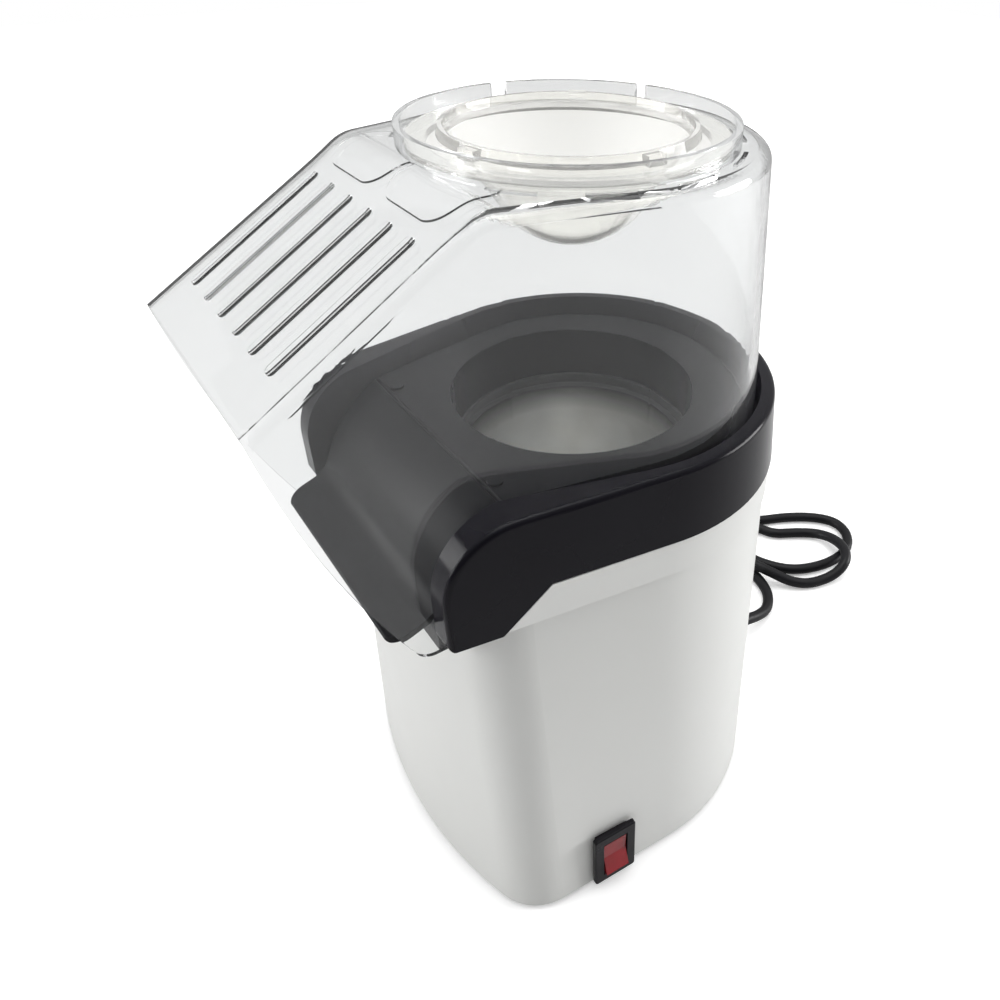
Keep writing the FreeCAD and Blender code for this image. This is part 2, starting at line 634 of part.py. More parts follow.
def make_measuring_cup():
    """Round-bottomed scoop that hangs in the lid by its flange."""
    seat = LID_TOP_Z + 0.3
    inner_r = CUP_BALL_R - CUP_WALL
    leave = 55.0
    outer_low, outer_mid, outer_end = [ball_point(CUP_BALL_R, a) for a in (0, leave / 2, leave)]
    inner_low, inner_mid, inner_end = [ball_point(inner_r, a) for a in (0, leave / 2, leave)]
    rim = CUP_RIM_R
    points = [outer_end, cup_point(36.5, 278.1), cup_point(38.0, seat), cup_point(CUP_FLANGE_R, seat),
              cup_point(CUP_FLANGE_R, seat + 1.8), cup_point(rim + 0.8, seat + 1.8),
              cup_point(rim, CUP_RIM_Z), cup_point(rim - 1.3, CUP_RIM_Z), cup_point(rim - 1.9, seat + 2.0),
              inner_end]
    edges = [arc(outer_low, outer_mid, outer_end)]
    edges += [line(a, b) for a, b in zip(points, points[1:])]
    edges += [arc(inner_end, inner_mid, inner_low), line(inner_low, outer_low)]
    bowl = Part.Face(Part.Wire(edges)).revolve(V(0, AXIS_Y, 0), V(0, 0, 1), 360)
    lugs = []
    for turn in CUP_LUGS:
        lug = box(rim - 0.6, rim + 3.4, -3.0, 3.0, seat + 1.5, CUP_RIM_Z - 0.3)
        lug.rotate(V(0, 0, 0), V(0, 0, 1), turn)
        lug.translate(V(0, AXIS_Y, 0))
        lugs.append(lug)
    return fused([bowl] + lugs)


# ---------------------------------------------------------------- popping chamber and hot-air path
def make_popping_chamber():
    r = CHAMBER_R
    floor = CHAMBER_FLOOR_Z
    cup = turned([(r + 6.0, 168.2), (r, 168.2), (r - 1.2, 167.0), (r - 2.2, floor + 16), (r - 6, floor + 8),
                  (26.0, floor), (15.0, floor + 1), (0, floor + 9),
                  (0, floor + 9 - SHEET), (15.0, floor + 1 - SHEET), (26.3, floor - SHEET),
                  (r - 5.3, floor + 7.4), (r - 1.4, floor + 15.8), (r - 0.3, 166.7),
                  (r + 0.4, 168.2 - SHEET), (r + 6.0, 168.2 - SHEET)])
    tabs = []
    for k in range(3):
        a = 90 + 120 * k
        tab = box(r + 3, LUG_R + 4, -4, 4, 168.2 - SHEET, 168.2).cut(
            Part.makeCylinder(1.6, 5, V(LUG_R, 0, 166)))
        tab.rotate(V(0, 0, 0), V(0, 0, 1), a)
        tab.translate(V(0, AXIS_Y, 0))
        tabs.append(tab)
    louvres = []
    for k in range(24):
        slit = box(24.0, r + 2, -0.9, 0.9, -3.0, 3.0)
        slit.rotate(V(35, 0, 0), V(1, 0, 0), 35)
        slit.rotate(V(0, 0, 0), V(0, 0, 1), 15 * k)
        slit.translate(V(0, AXIS_Y, floor + 11.0))
        louvres.append(slit)
    return fused([cup] + tabs).cut(Part.makeCompound(louvres))


def make_mouth_seal():
    return ring(CHAMBER_R + 3.2, CHAMBER_R + 0.2, 168.2, DECK_Z - MOUTH_DEPTH)


def make_chamber_screws():
    screws = []
    for k in range(3):
        a = math.radians(90 + 120 * k)
        x = LUG_R * math.cos(a)
        y = AXIS_Y + LUG_R * math.sin(a)
        head = rod(2.6, 165.6, 167.3, x, y)
        screws.append(head.fuse(rod(1.2, 167.3, 178.0, x, y)))
    return Part.makeCompound(screws)


def make_heat_shield():
    tube = turned([(48.2, 78.0), (48.9, 78.0), (48.9, SHIELD_TOP_Z), (48.2, SHIELD_TOP_Z)])
    flange = ring(52.0, 48.4, 78.0, 78.8)
    return fused([tube, flange])


def make_heater_frame():
    plates = []
    for turn in (0, 90):
        plate = box(-44.0, 44.0, -0.4, 0.4, 80.0, 99.0)
        relief = box(-44.5, 44.5, -1, 1, 98.0, 100.0)
        slit_low = box(-0.42, 0.42, -1, 1, 79.0, 89.6)
        slit_high = box(-0.42, 0.42, -1, 1, 89.4, 100.0)
        plate = plate.cut(relief).cut(slit_low if turn else slit_high)
        for r in HEATER_RINGS:
            for side in (-1, 1):
                plate = plate.cut(box(side * r - 1.9, side * r + 1.9, -1, 1, 92.0, 99.0))
        plate.rotate(V(0, 0, 0), V(0, 0, 1), turn)
        plate.translate(V(0, AXIS_Y, 0))
        plates.append(plate)
    return Part.makeCompound(plates)


def make_heater_coils():
    """Three rings of coiled resistance wire, each drawn as the tube its small turns fill."""
    coils = []
    for r in HEATER_RINGS:
        coils.append(Part.makeTorus(r, 1.7, V(0, AXIS_Y, 93.8)))
    return Part.makeCompound(coils)


def make_thermostat():
    body = Part.makeCylinder(7.2, 5.4, V(0, AXIS_Y - 48.95, 128), V(0, -1, 0))
    ears = box(-11.5, 11.5, AXIS_Y - 49.75, AXIS_Y - 48.95, 125.0, 131.0)
    return fused([body, ears])


def make_thermal_fuse():
    return Part.makeCylinder(2.0, 12.0, V(-6.0, AXIS_Y + 51.2, 100), V(1, 0, 0)).fuse(
        Part.makeCylinder(0.5, 34.0, V(-17.0, AXIS_Y + 51.2, 100), V(1, 0, 0)))


def make_fan_duct():
    """Plastic housing round the fan, with a flange that carries the heat shield."""
    wall = turned([(45.0, 54.0), (48.0, 54.0), (48.0, 75.8), (52.4, 75.8), (52.4, 77.9), (45.0, 77.9)])
    floor = ring(48.0, 34.0, 54.0, 55.6)
    feet = []
    for x, y in DUCT_FEET:
        feet.append(ring(3.6, 1.3, 6.3, 55.0, x, y).cut(rod(45.4, 55.0, 60)))
        arm_mid_y = AXIS_Y + (y - AXIS_Y) * 0.82
        arm_mid_x = x * 0.82
        feet.append(rod(3.6, 50.0, 55.6, arm_mid_x, arm_mid_y).cut(rod(45, 55.6, 80)))
    return fused([wall, floor] + feet)


# ---------------------------------------------------------------- motor and fan
def make_motor_can():
    return turned([(MOTOR_R, MOTOR_Z0), (MOTOR_R, MOTOR_Z1), (3.2, MOTOR_Z1), (3.2, MOTOR_Z1 - 0.9),
                   (MOTOR_R - 0.9, MOTOR_Z1 - 0.9), (MOTOR_R - 0.9, MOTOR_Z0)])


def make_motor_magnets():
    magnets = []
    for side in (-1, 1):
        arc_piece = ring(MOTOR_R - 0.95, 10.6, 31.0, 48.0)
        half = box(min(0, side * 20), max(0, side * 20), AXIS_Y - 9.0, AXIS_Y + 9.0, 30, 50)
        magnets.append(arc_piece.common(half))
    return Part.makeCompound(magnets)


def make_motor_end_cap():
    plate = turned([(3.3, MOTOR_Z0 - 1.6), (MOTOR_R - 1.0, MOTOR_Z0 - 1.6), (MOTOR_R - 1.0, MOTOR_Z0 + 1.0),
                    (3.3, MOTOR_Z0 + 1.0)])
    return plate


def make_motor_bushes():
    return Part.makeCompound([ring(3.2, SHAFT_R + 0.05, MOTOR_Z1 - 2.2, MOTOR_Z1 + 1.0),
                              ring(3.2, SHAFT_R + 0.05, MOTOR_Z0 - 1.6, MOTOR_Z0 + 2.0)])


def make_armature():
    poles = []
    for k in range(3):
        a = 120 * k
        web = box(1.2, 8.4, -1.5, 1.5, 33.0, 46.0)
        web.rotate(V(0, 0, 0), V(0, 0, 1), a)
        web.translate(V(0, AXIS_Y, 0))
        shoe = ring(10.0, 8.2, 33.0, 46.0)
        sector = box(0, 12, -6.0, 6.0, 30, 50)
        sector.rotate(V(0, 0, 0), V(0, 0, 1), a)
        sector.translate(V(0, AXIS_Y, 0))
        poles.append(web)
        poles.append(shoe.common(sector))
    hub = ring(3.4, SHAFT_R, 33.0, 46.0)
    return fused([hub] + [p.cut(rod(SHAFT_R, 0, 100)) for p in poles])


def make_commutator():
    return ring(3.0, SHAFT_R, 27.0, 32.0)


def make_motor_shaft():
    return rod(SHAFT_R, MOTOR_Z0 - 3.0, FAN_Z + 9.0)


def make_fan():
    hub = turned([(SHAFT_R, FAN_Z - 3.0), (7.0, FAN_Z - 3.0), (8.0, FAN_Z + 6.0), (5.0, FAN_Z + 9.0),
                  (SHAFT_R, FAN_Z + 9.0)])
    blades = []
    for k in range(8):
        blade = box(6.0, FAN_R, -7.5, 7.5, -0.7, 0.7)
        blade.rotate(V(0, 0, 0), V(1, 0, 0), 32)
        blade.rotate(V(0, 0, 0), V(0, 0, 1), 45 * k)
        blade.translate(V(0, AXIS_Y, FAN_Z + 1.5))
        blades.append(blade.cut(rod(6.0, 0, 100)).common(rod(FAN_R, 0, 100)))
    return fused([hub] + blades)


def make_motor_bracket():
    band = ring(MOTOR_R + 1.6, MOTOR_R, 30.0, 44.0)
    arms = []
    for x, y in BRACKET_PLACES:
        side = 1 if y > AXIS_Y else -1
        strip = box(-5, 5, min(AXIS_Y + side * 15.4, y + side * 5), max(AXIS_Y + side * 15.4, y + side * 5),
                    30.0, 31.6)
        post = ring(3.4, 1.4, 16.0, 31.6, x, y)
        arms.append(strip.cut(rod(1.4, 0, 60, x, y)).fuse(post))
    return fused([band] + arms)


def make_bracket_screws():
    return Part.makeCompound([screw(1.2, 2.8, 1.5, x, y, 33.1, 22.0, up=-1) for x, y in BRACKET_PLACES])


def make_rectifier_board():
    return box(-34.0, -18.0, AXIS_Y - 12.0, AXIS_Y + 12.0, 13.0, 14.6).fuse(
        fused([rod(2.0, 6.2, 13.0, x, y) for x, y in ((-31.0, AXIS_Y - 9.0), (-21.0, AXIS_Y + 9.0))]))


def make_rectifier_diodes():
    diodes = []
    for k in range(4):
        y = AXIS_Y - 7.5 + 5.0 * k
        can = Part.makeCylinder(1.4, 5.5, V(-28.8, y, 16.6), V(1, 0, 0))
        legs = [rod(0.4, 14.6, 17.0, x, y) for x in (-31.0, -21.0)]
        wire = Part.makeCylinder(0.4, 10.8, V(-31.4, y, 16.6), V(1, 0, 0))
        diodes.append(fused([can, wire] + legs))
    return Part.makeCompound(diodes)


# ---------------------------------------------------------------- switch
def make_switch_body():
    frame = box(0.1, 2.3, -BEZEL_W / 2, BEZEL_W / 2, -BEZEL_H / 2, BEZEL_H / 2)
    upright = [e for e in frame.Edges if abs(e.tangentAt(0).x) > 0.9]
    frame = frame.makeFillet(1.2, upright)
    face_edges = [e for e in frame.Edges if min(v.Point.x for v in e.Vertexes) > 2.2]
    frame = frame.makeFillet(0.7, face_edges)
    can = box(-17.0, 0.1, -CUTOUT_W / 2 + 0.2, CUTOUT_W / 2 - 0.2, -CUTOUT_H / 2 + 0.3, CUTOUT_H / 2 - 0.3)
    well = box(-9.0, 5.0, -ROCKER_W / 2 - 0.4, ROCKER_W / 2 + 0.4, -ROCKER_H / 2 - 1.2, ROCKER_H / 2 + 1.2)
    pins = []
    for side in (-1, 1):
        base = min(side * (ROCKER_W / 2 - 1.2), side * (ROCKER_W / 2 + 0.6))
        pins.append(Part.makeCylinder(1.1, 1.8, V(-ROCKER_AXIS_IN, base, 0), V(0, 1, 0)))
    return on_side_wall(fused([can, frame]).cut(well).fuse(fused(pins)))


def make_rocker():
    """Two-lobed key: its outside is a shallow V whose lower half stands proud when switched off."""
    w = ROCKER_W / 2
    h = ROCKER_H / 2
    x0 = -ROCKER_AXIS_IN
    points = [(x0 + 5.6, -h + 0.5), (x0 + 2.9, 0.0), (x0 + 3.3, h - 0.1), (x0 - 1.2, h - 0.9),
              (x0 - 3.6, 3.0), (x0 - 3.6, -3.0), (x0 - 0.2, -h + 0.4)]
    corners = [V(x, -w, z) for x, z in points]
    corners.append(corners[0])
    key = Part.Face(Part.makePolygon(corners)).extrude(V(0, 2 * w, 0))
    bore = Part.makeCylinder(1.15, 4 * w, V(x0, -2 * w, 0), V(0, 1, 0))
    solid_middle = box(x0 - 1.3, x0 + 1.3, -w + 1.25, w - 1.25, -1.3, 1.3)
    return on_side_wall(key.cut(bore.cut(solid_middle)))


def make_switch_terminals():
    tags = []
    for z in (-7.0, 0.0, 7.0):
        tag = box(-25.5, -17.0, -2.4, 2.4, z - 0.4, z + 0.4)
        tags.append(tag.cut(Part.makeCylinder(0.8, 4, V(-23.4, 0, z - 2))))
    return on_side_wall(Part.makeCompound(tags))


# ---------------------------------------------------------------- wires inside, power cord outside
def rounded_path(route, limit=0.45):
    """Straight runs joined by tangent arcs, each arc as large as its two runs allow."""
    points = [V(*p) for p in route]
    edges = []
    start = points[0]
    radii = []
    for before, here, after in zip(points, points[1:], points[2:]):
        a = (before - here)
        b = (after - here)
        shorter = min(a.Length, b.Length)
        turn = math.pi - a.getAngle(b)
        trim = limit * shorter
        radii.append(trim / math.tan(turn / 2))
        ua = V(a).normalize()
        ub = V(b).normalize()
        p = here + ua * trim
        q = here + ub * trim
        to_centre = (ua + ub).normalize()
        centre = here + to_centre * math.hypot(trim, radii[-1])
        middle = centre - to_centre * radii[-1]
        edges.append(line(start, p))
        edges.append(arc(p, middle, q))
        start = q
    edges.append(line(start, points[-1]))
    return Part.Wire(edges), radii


def tube_along(route, diameter):
    wire, radii = rounded_path(route)
    direction = V(*route[1]) - V(*route[0])
    circle = Part.Wire([Part.Circle(V(*route[0]), direction, diameter / 2).toShape()])
    tube = wire.makePipeShell([circle], True, True)
    return tube, radii, wire.Length


WIRES = {
    "wire_switch_to_heater": [
        (49.0, -6.0, 25.4), (48.0, -13.0, 38.0), (44.0, -23.0, 52.0), (34.0, -32.0, 70.0),
        (20.0, -36.5, 88.0), (9.0, -38.5, 104.0), (6.0, -37.0, 118.0)],
    "wire_cord_to_switch": [
        (11.0, 85.0, 14.0), (22.0, 79.0, 15.0), (36.0, 71.0, 14.5), (47.0, 57.0, 15.5),
        (51.0, 39.0, 17.0), (51.0, 21.0, 18.0), (49.5, 5.0, 18.0)],
    "wire_cord_to_rectifier": [
        (6.0, 85.0, 14.0), (-6.0, 79.0, 15.0), (-18.0, 67.0, 14.5), (-24.0, 52.0, 16.0),
        (-25.0, 37.0, 17.5)],
}

CORD_ROUTE = [
    (9.0, 118.2, 14.0), (9.0, 128.2, 12.8), (8.0, 140.0, 8.0), (4.4, 152.0, 3.8),
    (-4.6, 161.6, FLOOR_CORD_Z), (-16.0, 165.6, FLOOR_CORD_Z),
    (-29.0, 166.5, FLOOR_CORD_Z), (-46.0, 166.0, FLOOR_CORD_Z),
    (-60.0, 175.0, FLOOR_CORD_Z), (-66.0, 191.0, FLOOR_CORD_Z), (-63.0, 210.0, FLOOR_CORD_Z),
    (-54.0, 228.0, FLOOR_CORD_Z), (-38.0, 241.0, FLOOR_CORD_Z), (-18.0, 245.0, FLOOR_CORD_Z),
    (0.0, 236.0, FLOOR_CORD_Z), (10.5, 218.0, FLOOR_CORD_Z), (10.0, 198.0, FLOOR_CORD_Z),
    (-0.5, 182.0, FLOOR_CORD_Z), (-17.5, 174.6, FLOOR_CORD_Z), (-33.5, 177.4, FLOOR_CORD_Z),
    (-45.0, 187.6, FLOOR_CORD_Z), (-49.2, 202.0, FLOOR_CORD_Z), (-44.4, 216.6, FLOOR_CORD_Z),
    (-32.8, 226.6, FLOOR_CORD_Z), (-18.0, 228.4, FLOOR_CORD_Z), (-5.4, 220.6, FLOOR_CORD_Z),
    (-0.6, 206.4, FLOOR_CORD_Z), (-6.0, 193.0, FLOOR_CORD_Z), (-18.6, 186.2, FLOOR_CORD_Z + 0.6),
    (-33.0, 185.8, FLOOR_CORD_Z + 4.6), (-48.0, 189.0, FLOOR_CORD_Z + 6.6),
    (-64.0, 194.0, FLOOR_CORD_Z + 6.6), (-80.0, 196.0, FLOOR_CORD_Z + 3.6),
    (-98.0, 193.4, FLOOR_CORD_Z), (COIL_X, COIL_Y + COIL_R, FLOOR_CORD_Z)]

COIL_TOP_Z = FLOOR_CORD_Z + COIL_TURNS * COIL_PITCH
TAIL_ROUTE = [
    (COIL_X, COIL_Y - COIL_R, COIL_TOP_Z), (COIL_X + 14.0, COIL_Y - 33.0, COIL_TOP_Z - 0.8),
    (COIL_X + 28.0, COIL_Y - 34.4, COIL_TOP_Z - 5.4), (COIL_X + 42.0, COIL_Y - 33.2, 8.4),
    (COIL_X + 54.0, COIL_Y - 32.4, 7.4)]


def make_cord_coil():
    """Outer shape of the wound turns of cord."""
    r_in = COIL_R - CORD_D / 2
    r_out = COIL_R + CORD_D / 2
    height = (COIL_TURNS + 1) * COIL_PITCH
    return ring(r_out, r_in, 0.2, min(height, COIL_TOP_Z + CORD_D / 2), COIL_X, COIL_Y)


def make_coil_tie():
    """Flat strap round all the turns at one place."""
    top = COIL_TOP_Z + CORD_D / 2
    r_in = COIL_R - CORD_D / 2
    r_out = COIL_R + CORD_D / 2
    outer = box(COIL_X - r_out - 1.2, COIL_X - r_in + 1.2, COIL_Y - 3, COIL_Y + 3, 0.0, top + 1.0)
    hole = ring(r_out, r_in, -5.0, top, COIL_X, COIL_Y).common(
        box(COIL_X - 60, COIL_X, COIL_Y - 10, COIL_Y + 10, 0.2, top))
    return outer.cut(hole)


PLUG_X = TAIL_ROUTE[-1][0]
PLUG_Y = TAIL_ROUTE[-1][1]
PLUG_Z = TAIL_ROUTE[-1][2]


def make_plug_body():
    relief = Part.makeCone(3.4, 5.2, 10.0, V(PLUG_X, PLUG_Y, PLUG_Z), V(1, 0, 0))
    grip = box(PLUG_X + 10, PLUG_X + 30, PLUG_Y - 12, PLUG_Y + 12, PLUG_Z - 6.6, PLUG_Z + 6.6)
    grip = grip.makeFillet(3.0, [e for e in grip.Edges if abs(e.tangentAt(0).x) > 0.9])
    return relief.fuse(grip)


def make_plug_blades():
    blades = []
    for side in (-1, 1):
        y = PLUG_Y + side * 6.35
        blade = box(PLUG_X + 30, PLUG_X + 46, y - 0.75, y + 0.75, PLUG_Z - 3.15, PLUG_Z + 3.15)
        hole = Part.makeCylinder(1.6, 4, V(PLUG_X + 43, y - 2, PLUG_Z), V(0, 1, 0))
        blades.append(blade.cut(hole))
    return Part.makeCompound(blades)


def make_cord_gland():
    """Strain relief pressed into the back wall: flange, grooved sleeve and inner collar."""
    y0 = BACK_Y
    along = V(0, 1, 0)
    x = CORD_EXIT_X
    z = CORD_EXIT_Z
    sleeve = Part.makeCone(4.5, 3.9, 16.0, V(x, y0, z), along)
    flange = Part.makeCylinder(6.6, 1.6, V(x, y0 + 0.4, z), along)
    inner = Part.makeCylinder(4.4, 5.0, V(x, y0 - 5.0, z), along)
    collar = Part.makeCylinder(6.0, 1.6, V(x, y0 - 6.6, z), along)
    gland = fused([sleeve, flange, inner, collar])
    for k in range(3):
        groove_y = y0 + 4.5 + 3.6 * k
        gland = gland.cut(Part.makeCylinder(6, 1.2, V(x, groove_y, z), along).cut(
            Part.makeCylinder(3.4, 1.2, V(x, groove_y, z), along)))
    return gland.cut(Part.makeCylinder(0.2, 1, V(x, y0 + 40, z), along))


# ---------------------------------------------------------------- write every piece
PIECES = {
    "housing": make_housing,
    "bottom_cover": make_bottom_cover,
    "rubber_feet": make_feet,
    "cover_screws": make_cover_screws,
    "deck_tray": make_deck_tray,
    "trim_band": make_trim_band,
    "lid": make_lid,
    "measuring_cup": make_measuring_cup,
    "popping_chamber": make_popping_chamber,
    "mouth_seal": make_mouth_seal,
    "chamber_screws": make_chamber_screws,
    "heat_shield": make_heat_shield,
    "heater_frame": make_heater_frame,
    "heater_coils": make_heater_coils,
    "thermostat": make_thermostat,
    "thermal_fuse": make_thermal_fuse,
    "fan_duct": make_fan_duct,
    "motor_can": make_motor_can,
    "motor_magnets": make_motor_magnets,
    "motor_end_cap": make_motor_end_cap,
    "motor_bushes": make_motor_bushes,
    "motor_armature": make_armature,
    "commutator": make_commutator,
    "motor_shaft": make_motor_shaft,
    "fan": make_fan,
    "motor_bracket": make_motor_bracket,
    "bracket_screws": make_bracket_screws,
    "rectifier_board": make_rectifier_board,
    "rectifier_diodes": make_rectifier_diodes,
    "switch_body": make_switch_body,
    "rocker": make_rocker,
    "switch_terminals": make_switch_terminals,
    "cord_gland": make_cord_gland,
    "cord_coil": make_cord_coil,
    "coil_tie": make_coil_tie,
    "plug_body": make_plug_body,
    "plug_blades": make_plug_blades,
}

os.makedirs("parts", exist_ok=True)
for name, make in PIECES.items():
    make().exportStep("parts/" + name + ".step")

TUBES = dict((name, (route, WIRE_D)) for name, route in WIRES.items())
TUBES["power_cord"] = (CORD_ROUTE, CORD_D)
TUBES["plug_lead"] = (TAIL_ROUTE, CORD_D)
for name, (route, diameter) in TUBES.items():
    tube, radii, length = tube_along(route, diameter)
    expected = math.pi * diameter ** 2 / 4 * length
    print(name, "length", round(length, 1), "volume ratio", round(tube.Volume / expected, 4),
          "smallest radius", round(min(radii), 1))
    print("   radii", [round(r, 1) for r in radii])
    tube.exportStep("parts/" + name + ".step")
print("coil length", round(COIL_TURNS * 2 * math.pi * COIL_R, 1))
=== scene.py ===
"""Hot-air popcorn maker: materials, power cord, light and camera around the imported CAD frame.

Metres, +Z up, spout towards -Y, switch on the +X side.
"""
import json
import math

import bpy
from mathutils import Matrix, Vector


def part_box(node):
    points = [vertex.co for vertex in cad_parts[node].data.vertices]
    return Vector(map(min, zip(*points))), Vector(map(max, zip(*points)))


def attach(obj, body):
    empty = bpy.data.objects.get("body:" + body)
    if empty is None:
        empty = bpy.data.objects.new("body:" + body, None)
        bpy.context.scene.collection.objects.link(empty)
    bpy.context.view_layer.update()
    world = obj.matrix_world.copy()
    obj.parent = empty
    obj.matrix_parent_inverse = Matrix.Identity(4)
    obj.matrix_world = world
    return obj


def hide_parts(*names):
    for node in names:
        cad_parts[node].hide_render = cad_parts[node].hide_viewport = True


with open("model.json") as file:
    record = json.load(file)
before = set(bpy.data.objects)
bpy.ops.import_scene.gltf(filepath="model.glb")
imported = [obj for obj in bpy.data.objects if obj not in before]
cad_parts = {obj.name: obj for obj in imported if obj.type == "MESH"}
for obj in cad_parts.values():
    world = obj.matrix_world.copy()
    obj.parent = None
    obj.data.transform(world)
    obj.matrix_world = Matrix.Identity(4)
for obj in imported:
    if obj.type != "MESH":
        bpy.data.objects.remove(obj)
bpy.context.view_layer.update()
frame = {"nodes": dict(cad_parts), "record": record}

# ---------------------------------------------------------------- camera
CAMERA_PLACE = Vector((0.2249, -0.1304, 0.3503))
YAW = 0.913      # radians, from +Y towards -X
PITCH = 0.605    # radians, downwards
ROLL = 0.027     # radians
LENS = 30.58     # mm on a sensor of SENSOR mm
SENSOR = 36
SHIFT = (-0.1159, -0.0499)
NEAREST = 0.01   # clip start


def add_camera():
    forward = Vector((-math.sin(YAW) * math.cos(PITCH), math.cos(YAW) * math.cos(PITCH), -math.sin(PITCH)))
    level = Vector((math.cos(YAW), math.sin(YAW), 0))
    upward = level.cross(forward)
    right = math.cos(ROLL) * level + math.sin(ROLL) * upward
    up = -math.sin(ROLL) * level + math.cos(ROLL) * upward
    data = bpy.data.cameras.new("camera")
    data.sensor_width = SENSOR
    data.lens = LENS
    data.shift_x, data.shift_y = SHIFT
    data.clip_start = NEAREST
    camera = bpy.data.objects.new("camera", data)
    turn = Matrix((right, up, -forward)).transposed().to_4x4()
    camera.matrix_world = Matrix.Translation(CAMERA_PLACE) @ turn
    bpy.context.scene.collection.objects.link(camera)
    bpy.context.scene.camera = camera


add_camera()

# ---------------------------------------------------------------- node helpers


class Paint:
    """One node material, built up from a Principled shader and a few procedural textures."""

    def __init__(self, name, color, roughness=0.4, metallic=0.0, ior=1.5, **sockets):
        self.material = bpy.data.materials.new(name)
        self.material.use_nodes = True
        self.tree = self.material.node_tree
        self.shader = self.tree.nodes["Principled BSDF"]
        self.set("Base Color", (*color, 1))
        self.set("Roughness", roughness)
        self.set("Metallic", metallic)
        self.set("IOR", ior)
        for socket, value in sockets.items():
            self.set(socket.replace("_", " "), value)
        self.coords = self.node("ShaderNodeTexCoord").outputs["Object"]

    def set(self, socket, value):
        self.shader.inputs[socket].default_value = value

    def node(self, kind, **inputs):
        made = self.tree.nodes.new(kind)
        for name, value in inputs.items():
            self.feed(made.inputs[name.replace("_", " ")], value)
        return made

    def feed(self, socket, value):
        if isinstance(value, bpy.types.NodeSocket):
            self.tree.links.new(value, socket)
        else:
            socket.default_value = value

    def stretched(self, scale):
        mapping = self.node("ShaderNodeMapping", Vector=self.coords)
        mapping.inputs["Scale"].default_value = scale
        return mapping.outputs["Vector"]

    def noise(self, scale, detail=3.0, stretch=None, roughness=0.5):
        where = self.stretched(stretch) if stretch else self.coords
        return self.node("ShaderNodeTexNoise", Vector=where, Scale=scale, Detail=detail,
                         Roughness=roughness).outputs["Fac"]

    def ranged(self, value, low, high, from_low=0.3, from_high=0.7):
        return self.node("ShaderNodeMapRange", Value=value, **{
            "From_Min": from_low, "From_Max": from_high, "To_Min": low, "To_Max": high}).outputs["Result"]

    def blend_color(self, factor, first, second):
        mix = self.tree.nodes.new("ShaderNodeMix")
        mix.data_type = "RGBA"
        self.feed(mix.inputs[0], factor)
        for socket, value in ((mix.inputs[6], first), (mix.inputs[7], second)):
            self.feed(socket, (*value, 1) if isinstance(value, tuple) else value)
        return mix.outputs[2]

    def mottled(self, first, second, scale, detail=4.0, stretch=None):
        """Base colour that wanders a little between two shades."""
        factor = self.ranged(self.noise(scale, detail, stretch), 0, 1)
        self.feed(self.shader.inputs["Base Color"], self.blend_color(factor, first, second))
        return self

    def rough_between(self, low, high, scale, detail=4.0, stretch=None):
        """Roughness that wanders between two values."""
        roughness = self.ranged(self.noise(scale, detail, stretch), low, high)
        self.feed(self.shader.inputs["Roughness"], roughness)
        return self

    def bumped(self, height, distance, strength=0.5):
        bump = self.node("ShaderNodeBump", Height=height, Strength=strength)
        bump.inputs["Distance"].default_value = distance
        if self.shader.inputs["Normal"].is_linked:
            self.feed(bump.inputs["Normal"], self.shader.inputs["Normal"].links[0].from_socket)
        self.feed(self.shader.inputs["Normal"], bump.outputs["Normal"])
        return self

    def grain(self, scale, distance, strength=0.4, detail=3.0, stretch=None):
        """Fine bump; scale in bumps per metre, distance in metres."""
        return self.bumped(self.noise(scale, detail, stretch), distance, strength)

    def lets_light_through(self, share=0.9):
        """Lamps shine through clear plastic instead of being stopped by it."""
        tree = self.tree
        clear = tree.nodes.new("ShaderNodeBsdfTransparent")
        clear.inputs["Color"].default_value = (share, share, share, 1)
        path = tree.nodes.new("ShaderNodeLightPath")
        mix = tree.nodes.new("ShaderNodeMixShader")
        tree.links.new(path.outputs["Is Shadow Ray"], mix.inputs[0])
        tree.links.new(self.shader.outputs["BSDF"], mix.inputs[1])
        tree.links.new(clear.outputs["BSDF"], mix.inputs[2])
        tree.links.new(mix.outputs["Shader"], tree.nodes["Material Output"].inputs["Surface"])
        return self


THROUGH_PLASTIC = 0.24   # how much of the plain white backdrop shows through clear plastic


def seen_plainly(tree):
    """1 for a camera ray, THROUGH_PLASTIC for one that only passed clear plastic, otherwise 0."""
    path = tree.nodes.new("ShaderNodeLightPath")
    rest = None
    for bounces in ("Diffuse Depth", "Glossy Depth"):
        take = tree.nodes.new("ShaderNodeMath")
        take.operation = "SUBTRACT"
        take.use_clamp = True
        take.inputs[0].default_value = 1.0
        if rest:
            tree.links.new(rest, take.inputs[0])
        tree.links.new(path.outputs[bounces], take.inputs[1])
        rest = take.outputs[0]
    share = tree.nodes.new("ShaderNodeMapRange")
    share.inputs["To Min"].default_value = THROUGH_PLASTIC
    tree.links.new(path.outputs["Is Camera Ray"], share.inputs["Value"])
    both = tree.nodes.new("ShaderNodeMath")
    both.operation = "MULTIPLY"
    tree.links.new(rest, both.inputs[0])
    tree.links.new(share.outputs["Result"], both.inputs[1])
    return both.outputs[0]


def clear_paint(name, color, roughness, ior, share):
    """Clear plastic; share is the part of the light that its shadow lets through."""
    paint = Paint(name, color, roughness, ior=ior)
    paint.set("Transmission Weight", 1.0)
    return paint.lets_light_through(share)


# ---------------------------------------------------------------- materials
paints = {}
CHAMBER_RIM_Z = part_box("popping_chamber")[1][2]
RIM_SHADE_START = 0.012   # painted shade: the chamber's colour darkens over this stretch below its rim
RIM_SHADE_END = 0.001

